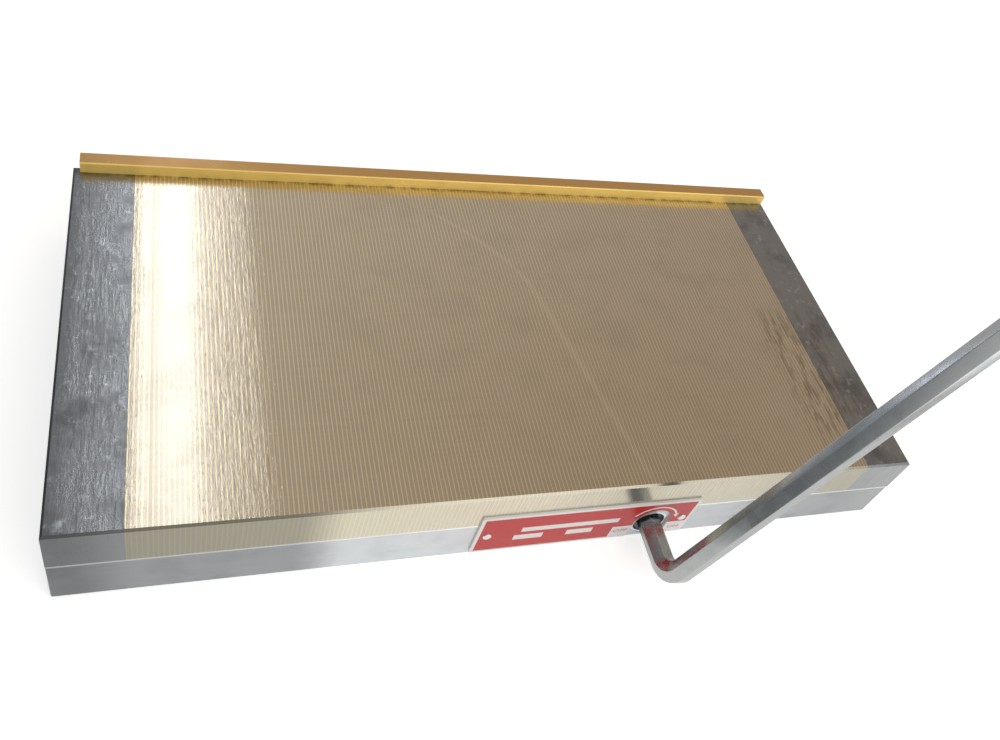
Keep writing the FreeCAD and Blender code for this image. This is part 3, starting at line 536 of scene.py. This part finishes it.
def printed_plate(settings):
    """Lacquered aluminium sheet, screen printed: flat glossy colour, bare border and boxes."""
    material, tree, shader = new_material("screen_printed_lacquered_aluminium")
    place = axes(tree, in_millimetres(tree))
    x, z = place[0], place[2]
    edge = settings.border / MM
    printed = rectangle(tree, x, z, PLATE_LOW.x / MM + edge, PLATE_HIGH.x / MM - edge,
                        PLATE_LOW.z / MM + edge * 0.7, PLATE_HIGH.z / MM - edge)
    bare = [rectangle(tree, x, z, *box) for box in blank_boxes() + word_panels()]
    field = combine(tree, "MULTIPLY", printed, combine(tree, "SUBTRACT", 1.0, combine(tree, "MAXIMUM", *bare)))
    normal = axes(tree, add_node(tree, "ShaderNodeNewGeometry").outputs["Normal"])
    front = between(tree, normal[1], -0.9, -0.7, 1.0, 0.0)
    field = combine(tree, "MULTIPLY", field, front)
    ink = grain(tree, in_millimetres(tree), 6.0, 3.0)
    inked = blend(tree, between(tree, ink, 0.4, 0.7, 0.0, 0.2), settings.enamel, linear("a81c1c"))
    paper = blend(tree, between(tree, ink, 0.4, 0.7, 0.0, 0.15), linear("e9e6e4"), linear("cfcaca"))
    tree.links.new(blend(tree, field, paper, inked), shader.inputs["Base Color"])
    tree.links.new(between(tree, field, 0.0, 1.0, 0.28, 0.22), shader.inputs["Roughness"])
    shader.inputs["Specular IOR Level"].default_value = 0.3
    tree.links.new(bumped(tree, ink, 0.03 * MM, 0.3), shader.inputs["Normal"])
    return material


def print_ink(name, code):
    """Screen-printing ink: opaque, slightly glossy, a little uneven in density."""
    material, tree, shader = new_material(name)
    density = grain(tree, in_millimetres(tree), 0.8, 2.0)
    tree.links.new(blend(tree, between(tree, density, 0.4, 0.7, 0.0, 0.2), linear(code), linear("b9a9a9")),
                   shader.inputs["Base Color"])
    shader.inputs["Roughness"].default_value = 0.4
    return material


def front_of_plate(mesh, left, low):
    """Stands a drawing made in X and Y upright just in front of the nameplate's face."""
    mesh.transform(Matrix.Rotation(math.radians(90.0), 4, "X"))
    mesh.transform(Matrix.Translation(Vector((left, PLATE_LOW.y - INK_LIFT, low))))


def baked_mesh(obj):
    """A plain mesh of what an object shows now; the object that made it is removed."""
    evaluated = obj.evaluated_get(bpy.context.evaluated_depsgraph_get())
    mesh = bpy.data.meshes.new_from_object(evaluated)
    bpy.data.objects.remove(obj)
    return mesh


def new_piece(name, mesh, material):
    """Puts a mesh in the scene as an object with one material."""
    obj = bpy.data.objects.new(name, mesh)
    bpy.context.scene.collection.objects.link(obj)
    mesh.materials.clear()
    mesh.materials.append(material)
    return obj


def word(name, text, height, left, low, width):
    """A printed word, as a thin mesh standing on the nameplate's face."""
    curve = bpy.data.curves.new(name, "FONT")
    curve.body = text
    curve.size = height
    curve.extrude = INK_THICKNESS / 2.0
    obj = bpy.data.objects.new(name, curve)
    bpy.context.scene.collection.objects.link(obj)
    mesh = baked_mesh(obj)
    spread = max(v.co.x for v in mesh.vertices) - min(v.co.x for v in mesh.vertices)
    mesh.transform(Matrix.Diagonal((width / spread, 1.0, 1.0, 1.0)))
    mesh.transform(Matrix.Translation(Vector((-min(v.co.x for v in mesh.vertices), 0.0, 0.0))))
    front_of_plate(mesh, left, low)
    return mesh


# ---- geometry nodes ----
def start_geometry(name, inputs):
    """A geometry tree with named inputs, its input node and its output node."""
    tree = bpy.data.node_groups.new(name, "GeometryNodeTree")
    tree.interface.new_socket("Geometry", in_out="OUTPUT", socket_type="NodeSocketGeometry")
    tree.interface.new_socket("Geometry", in_out="INPUT", socket_type="NodeSocketGeometry")
    for label, kind in inputs:
        tree.interface.new_socket(label, in_out="INPUT", socket_type=kind)
    entry = add_node(tree, "NodeGroupInput")
    return tree, entry.outputs


def finish_geometry(tree, geometry, material):
    """Ends a tree in real geometry with its material, which the export needs."""
    real = add_node(tree, "GeometryNodeRealizeInstances", {"Geometry": geometry})
    painted = add_node(tree, "GeometryNodeSetMaterial", {"Geometry": real.outputs[0], "Material": material})
    add_node(tree, "NodeGroupOutput", {0: painted.outputs[0]})


def run_geometry(obj, tree, values):
    """Runs a tree on an object with these values, and gives back the plain mesh."""
    modifier = obj.modifiers.new(tree.name, "NODES")
    modifier.node_group = tree
    names = {item.name: item.identifier for item in tree.interface.items_tree if item.in_out == "INPUT"}
    for label, value in values.items():
        modifier[names[label]] = value
    return baked_mesh(obj)


def bar_tree():
    """Sweeps a hexagon with rounded corners along a bent line."""
    tree, entry = start_geometry("Hexagon bar", [
        ("Corner to centre", "NodeSocketFloat"), ("Corner radius", "NodeSocketFloat"),
        ("Bend radius", "NodeSocketFloat"), ("Material", "NodeSocketMaterial")])
    bent = add_node(tree, "GeometryNodeFilletCurve",
                    {"Curve": entry["Geometry"], "Count": BEND_STEPS, "Radius": entry["Bend radius"],
                     "Limit Radius": True}, mode="POLY")
    level = add_node(tree, "GeometryNodeSetCurveNormal", {"Curve": bent.outputs[0]}, mode="Z_UP")
    hexagon = add_node(tree, "GeometryNodeCurvePrimitiveCircle",
                       {"Resolution": 6, "Radius": entry["Corner to centre"]}, mode="RADIUS")
    upright = add_node(tree, "GeometryNodeTransform",
                       {"Geometry": hexagon.outputs[0], "Rotation": (0.0, 0.0, math.radians(90.0))})
    section = add_node(tree, "GeometryNodeFilletCurve",
                       {"Curve": upright.outputs[0], "Count": CORNER_STEPS,
                        "Radius": entry["Corner radius"]}, mode="POLY")
    width = add_node(tree, "GeometryNodeInputNamedAttribute", {"Name": "radius"}, data_type="FLOAT")
    swept = add_node(tree, "GeometryNodeCurveToMesh",
                     {"Curve": level.outputs[0], "Profile Curve": section.outputs[0],
                      "Scale": width.outputs["Attribute"], "Fill Caps": True})
    finish_geometry(tree, swept.outputs[0], entry["Material"])
    return tree


def rivet_tree():
    """Puts a low dome, with the flat end of its drive pin, on every point."""
    tree, entry = start_geometry("Domed rivets", [
        ("Radius", "NodeSocketFloat"), ("Height", "NodeSocketFloat"), ("Material", "NodeSocketMaterial")])
    ball = add_node(tree, "GeometryNodeMeshUVSphere",
                    {"Segments": 40, "Rings": 20, "Radius": entry["Radius"]})
    share = add_node(tree, "ShaderNodeMath", {0: entry["Height"], 1: entry["Radius"]}, operation="DIVIDE")
    squeeze = add_node(tree, "ShaderNodeCombineXYZ", {0: 1.0, 1: 1.0, 2: share.outputs[0]})
    dome = add_node(tree, "GeometryNodeTransform",
                    {"Geometry": ball.outputs["Mesh"], "Scale": squeeze.outputs[0]})
    smooth = add_node(tree, "GeometryNodeSetShadeSmooth", {"Geometry": dome.outputs[0]})
    pin_radius = add_node(tree, "ShaderNodeMath", {0: entry["Radius"], 1: PIN_RADIUS}, operation="MULTIPLY")
    pin_depth = add_node(tree, "ShaderNodeMath", {0: entry["Height"], 1: PIN_DEPTH}, operation="MULTIPLY")
    pin = add_node(tree, "GeometryNodeMeshCylinder",
                   {"Vertices": 24, "Radius": pin_radius.outputs[0], "Depth": pin_depth.outputs[0]})
    both = add_node(tree, "GeometryNodeJoinGeometry")
    tree.links.new(smooth.outputs[0], both.inputs[0])
    tree.links.new(pin.outputs["Mesh"], both.inputs[0])
    points = add_node(tree, "GeometryNodeMeshToPoints", {"Mesh": entry["Geometry"]})
    placed = add_node(tree, "GeometryNodeInstanceOnPoints",
                      {"Points": points.outputs[0], "Instance": both.outputs[0],
                       "Rotation": (math.radians(90.0), 0.0, 0.0)})
    finish_geometry(tree, placed.outputs[0], entry["Material"])
    return tree


def curve_line(name, points, radii):
    """A curve object of one straight-sided line."""
    curve = bpy.data.curves.new(name, "CURVE")
    curve.dimensions = "3D"
    spline = curve.splines.new("POLY")
    spline.points.add(len(points) - 1)
    for point, place, radius in zip(spline.points, points, radii):
        point.co = (*place, 1.0)
        point.radius = radius
    obj = bpy.data.objects.new(name, curve)
    bpy.context.scene.collection.objects.link(obj)
    return obj


def point_cloud(name, points):
    """An object of loose points, to place copies on."""
    mesh = bpy.data.meshes.new(name)
    mesh.from_pydata(points, [], [])
    obj = bpy.data.objects.new(name, mesh)
    bpy.context.scene.collection.objects.link(obj)
    return obj


# ---- stage ----
def area_lamp(name, place, target, size, power, colour="ffffff"):
    """A rectangular lamp at a place, turned to face its target."""
    lamp = bpy.data.lights.new(name, "AREA")
    lamp.shape = "RECTANGLE"
    lamp.size, lamp.size_y = size
    lamp.energy = power
    lamp.color = linear(colour)[:3]
    obj = bpy.data.objects.new(name, lamp)
    obj.location = place
    obj.rotation_mode = "QUATERNION"
    obj.rotation_quaternion = (Vector(target) - Vector(place)).to_track_quat("-Z", "Y")
    bpy.context.scene.collection.objects.link(obj)


def pale_sky(strength):
    """White to the eye; in reflections, a bright room in front and a dimmer, browner one behind."""
    world = bpy.data.worlds.new("Studio")
    bpy.context.scene.world = world
    world.use_nodes = True
    tree = world.node_tree
    tree.nodes.clear()
    path = add_node(tree, "ShaderNodeLightPath")
    way = axes(tree, add_node(tree, "ShaderNodeTexCoord").outputs["Generated"])
    high = between(tree, way[2], 0.58, 0.85)
    left = blend(tree, high, linear("e6e0da"), linear("d3c9bb"))
    right = blend(tree, high, linear("c3b6ac"), linear("af9a83"))
    rear = blend(tree, between(tree, way[0], 0.0, 0.7), left, right)
    rear = blend(tree, between(tree, way[0], -0.16, 0.0, 1.0, 0.0), rear, linear("a9adb3"))
    front = blend(tree, between(tree, way[0], -0.8, -0.3), linear("8d9093"), linear("fbfaf8"))
    room = blend(tree, between(tree, way[1], -0.25, 0.25), front, rear)
    soft = add_node(tree, "ShaderNodeBackground", {"Color": room, "Strength": strength})
    white = add_node(tree, "ShaderNodeBackground", {"Color": (1.0, 1.0, 1.0, 1.0), "Strength": 1.0})
    seen = add_node(tree, "ShaderNodeMixShader", {0: path.outputs["Is Camera Ray"], 1: soft.outputs[0],
                                                  2: white.outputs[0]})
    add_node(tree, "ShaderNodeOutputWorld", {"Surface": seen.outputs[0]})


def floor_finish(colour):
    """Matt painted board: white to the eye with a soft shadow, dimmer in reflections towards the left."""
    material, tree, shader = new_material("matt_pale_floor")
    path = add_node(tree, "ShaderNodeLightPath")
    fleck = grain(tree, in_millimetres(tree), 40.0, 2.0)
    place = axes(tree, in_millimetres(tree))
    far = combine(tree, "MULTIPLY", between(tree, place[0], -90.0, -520.0), path.outputs["Is Glossy Ray"])
    board = blend(tree, between(tree, fleck, 0.3, 0.7, 0.0, 0.03), colour, linear("e4e4e2"))
    tree.links.new(blend(tree, far, board, linear("858789")), shader.inputs["Base Color"])
    shader.inputs["Roughness"].default_value = 0.9
    shader.inputs["Specular IOR Level"].default_value = 0.0
    near_glow = combine(tree, "MULTIPLY", path.outputs["Is Glossy Ray"], combine(tree, "SUBTRACT", 1.0, far))
    looked_at = combine(tree, "MAXIMUM", path.outputs["Is Camera Ray"], near_glow,
                        path.outputs["Is Transmission Ray"])
    tree.links.new(combine(tree, "MULTIPLY", looked_at, 0.50), shader.inputs["Emission Strength"])
    shader.inputs["Emission Color"].default_value = (1.0, 1.0, 1.0, 1.0)
    return material


def chuck_camera():
    camera = bpy.data.cameras.new("Camera")
    camera.sensor_width = 36.0
    camera.lens = 33.03
    camera.shift_x = -0.0393
    camera.shift_y = -0.0662
    camera.clip_start = 0.01
    camera.clip_end = 50.0
    obj = bpy.data.objects.new("Camera", camera)
    obj.location = (-0.1569, -0.2798, 0.3810)
    obj.rotation_euler = [math.radians(angle) for angle in (43.248, -16.332, -14.934)]
    bpy.context.scene.collection.objects.link(obj)
    bpy.context.scene.camera = obj


# ---- operators ----
def give(node, material):
    """Puts a material on a CAD piece, which stays where and as it is."""
    for slot in frame["nodes"][node].material_slots:
        slot.material = material


class CHUCK_OT_stage(bpy.types.Operator):
    """Lays the floor, hangs the lamps and sky, and sets up the camera"""
    bl_idname = "chuck.stage"
    bl_label = "Stage"

    def execute(self, context):
        settings = context.scene.chuck_stage
        mesh = bpy.data.meshes.new("floor")
        signs = ((-1, -1), (1, -1), (1, 1), (-1, 1))
        corners = [(x * FLOOR_REACH, y * FLOOR_REACH, FLOOR_Z) for x, y in signs]
        mesh.from_pydata(corners, [], [(0, 1, 2, 3)])
        new_piece("floor", mesh, floor_finish(settings.floor))
        area_lamp("strip_lamp", STRIP_PLACE, STRIP_TARGET, STRIP_SIZE, settings.strip, "edf3ff")
        area_lamp("front_lamp", FRONT_PLACE, FRONT_TARGET, FRONT_SIZE, settings.front)
        pale_sky(settings.sky)
        chuck_camera()
        context.scene.view_settings.view_transform = "Standard"
        return {"FINISHED"}


class CHUCK_OT_body(bpy.types.Operator):
    """Finishes the ground lower body and its cover"""
    bl_idname = "chuck.body"
    bl_label = "Body"

    def execute(self, context):
        steel = body_steel(context.scene.chuck_finish.body)
        give("housing", steel)
        give("bottom_cover", steel)
        return {"FINISHED"}


class CHUCK_OT_pole_plate(bpy.types.Operator):
    """Finishes the laminated working face and its end blocks"""
    bl_idname = "chuck.pole_plate"
    bl_label = "Pole plate"

    def execute(self, context):
        settings = context.scene.chuck_finish
        give("steel_laminae", lamina_steel(settings.lamina))
        give("brass_spacers", spacer_brass(settings.spacer))
        block = end_block_steel(settings.end_block)
        give("end_block_left", block)
        give("end_block_right", block)
        return {"FINISHED"}


class CHUCK_OT_stop_rail(bpy.types.Operator):
    """Finishes the brass stop rail"""
    bl_idname = "chuck.stop_rail"
    bl_label = "Stop rail"

    def execute(self, context):
        give("stop_rail", rail_brass(context.scene.chuck_finish.rail))
        return {"FINISHED"}


class CHUCK_OT_works(bpy.types.Operator):
    """Finishes the screws, pins, shaft, bearings and magnet slider"""
    bl_idname = "chuck.works"
    bl_label = "Screws and works"

    def execute(self, context):
        for node, material in small_finishes().items():
            give(node, material)
        return {"FINISHED"}


class CHUCK_OT_nameplate(bpy.types.Operator):
    """Prints the nameplate: its coloured field, OFF, ON and the arrow between them"""
    bl_idname = "chuck.nameplate"
    bl_label = "Nameplate"

    def execute(self, context):
        settings = context.scene.chuck_plate
        give("nameplate", printed_plate(settings))
        red = print_ink("screen_ink_red", "c4605c")
        white = print_ink("screen_ink_white", "f0eceb")
        off = word("print_off", "OFF", settings.letter, *WORD_OFF)
        on = word("print_on", "ON", settings.letter, *WORD_ON)
        pieces = [new_piece("print_off", off, red), new_piece("print_on", on, red)]
        pieces.append(new_piece("print_arrow", arrow_mesh(settings.arrow), white))
        for piece in pieces:
            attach(piece, "chassis")
        return {"FINISHED"}


def arrow_mesh(width):
    """The arrow from OFF over the shaft to ON: a band along an arc, and a head."""
    verts = []
    faces = []
    half = width / 2.0
    for step in range(ARROW_STEPS + 1):
        angle = ARROW_START + (ARROW_END - ARROW_START) * step / ARROW_STEPS
        for radius in (ARROW_RADIUS - half, ARROW_RADIUS + half):
            verts.append((radius * math.cos(angle), radius * math.sin(angle), 0.0))
    for step in range(ARROW_STEPS):
        first = 2 * step
        faces.append((first, first + 1, first + 3, first + 2))
    tip = ARROW_END - 3.2 * width / ARROW_RADIUS
    head = len(verts)
    for radius, angle in ((ARROW_RADIUS - 1.5 * width, ARROW_END), (ARROW_RADIUS + 1.5 * width, ARROW_END),
                          (ARROW_RADIUS, tip)):
        verts.append((radius * math.cos(angle), radius * math.sin(angle), 0.0))
    faces.append((head, head + 1, head + 2))
    mesh = bpy.data.meshes.new("print_arrow")
    mesh.from_pydata(verts, [], faces)
    front_of_plate(mesh, SHAFT.x, ARROW_CENTRE_Z)
    return mesh


class CHUCK_OT_rivets(bpy.types.Operator):
    """Sets the domed rivets that hold the nameplate"""
    bl_idname = "chuck.rivets"
    bl_label = "Rivets"

    def execute(self, context):
        radius = context.scene.chuck_plate.rivet / 2.0
        height = PLATE_LOW.y - RIVETS_LOW.y
        middle = (RIVETS_LOW.z + RIVETS_HIGH.z) / 2.0
        places = [(RIVETS_LOW.x + radius, PLATE_LOW.y, middle),
                  (RIVETS_HIGH.x - radius, PLATE_LOW.y, middle)]
        material = rivet_aluminium()
        mesh = run_geometry(point_cloud("rivet_places", places), rivet_tree(),
                            {"Radius": radius, "Height": height, "Material": material})
        piece = new_piece("rivet_heads", mesh, material)
        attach(piece, "chassis")
        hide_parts("nameplate_rivets")
        return {"FINISHED"}


class CHUCK_OT_hex_key(bpy.types.Operator):
    """Bends the hexagon key out of one bar and stands it in the shaft's socket"""
    bl_idname = "chuck.hex_key"
    bl_label = "Hex key"

    def execute(self, context):
        settings = context.scene.chuck_key
        corner = settings.across_flats / math.sqrt(3.0)
        reach = settings.long_arm
        elbow = KEY_LOW.y + settings.across_flats / 2.0
        tip = KEY_HIGH.y
        bevel = settings.chamfer
        points = [(0.0, tip, 0.0), (0.0, tip - bevel, 0.0), (0.0, elbow, 0.0),
                  (reach - bevel, elbow, 0.0), (reach, elbow, 0.0)]
        small = 1.0 - bevel / (settings.across_flats / 2.0)
        material = plated_key_steel()
        mesh = run_geometry(curve_line("key_line", points, (small, 1.0, 1.0, 1.0, small)), bar_tree(),
                            {"Corner to centre": corner, "Corner radius": settings.corner,
                             "Bend radius": settings.bend, "Material": material})
        mesh.transform(Matrix.Rotation(-KEY_ANGLE, 4, "Y"))
        mesh.transform(Matrix.Translation(Vector((SHAFT.x, 0.0, SHAFT.z))))
        piece = new_piece("plated_key", mesh, material)
        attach(piece, "hex_key")
        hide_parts("hex_key")
        return {"FINISHED"}


class CHUCK_PT_panel(bpy.types.Panel):
    """Lists the chuck's pieces in the sidebar"""
    bl_idname = "CHUCK_PT_panel"
    bl_label = "Magnetic Chuck"
    bl_space_type = "VIEW_3D"
    bl_region_type = "UI"
    bl_category = "Chuck"

    def draw(self, context):
        layout = self.layout
        for group, names in SETTINGS.items():
            owner = getattr(context.scene, group)
            for name in names:
                layout.prop(owner, name)
        for operator in OPERATORS:
            layout.operator(operator.bl_idname)


GROUPS = {"chuck_stage": ChuckStage, "chuck_finish": ChuckFinish, "chuck_plate": ChuckPlate,
          "chuck_key": ChuckKey}
SETTINGS = {name: list(group.__annotations__) for name, group in GROUPS.items()}
OPERATORS = (CHUCK_OT_stage, CHUCK_OT_body, CHUCK_OT_pole_plate, CHUCK_OT_stop_rail, CHUCK_OT_works,
             CHUCK_OT_nameplate, CHUCK_OT_rivets, CHUCK_OT_hex_key)


def register():
    for name, group in GROUPS.items():
        bpy.utils.register_class(group)
        setattr(bpy.types.Scene, name, PointerProperty(type=group))
    for operator in OPERATORS:
        bpy.utils.register_class(operator)
    bpy.utils.register_class(CHUCK_PT_panel)


def unregister():
    bpy.utils.unregister_class(CHUCK_PT_panel)
    for operator in reversed(OPERATORS):
        bpy.utils.unregister_class(operator)
    for name, group in reversed(GROUPS.items()):
        delattr(bpy.types.Scene, name)
        bpy.utils.unregister_class(group)


def main():
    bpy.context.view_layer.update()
    register()
    bpy.ops.chuck.stage()
    bpy.ops.chuck.body()
    bpy.ops.chuck.pole_plate()
    bpy.ops.chuck.stop_rail()
    bpy.ops.chuck.works()
    bpy.ops.chuck.nameplate()
    bpy.ops.chuck.rivets()
    bpy.ops.chuck.hex_key()


if __name__ == "__main__":
    main()
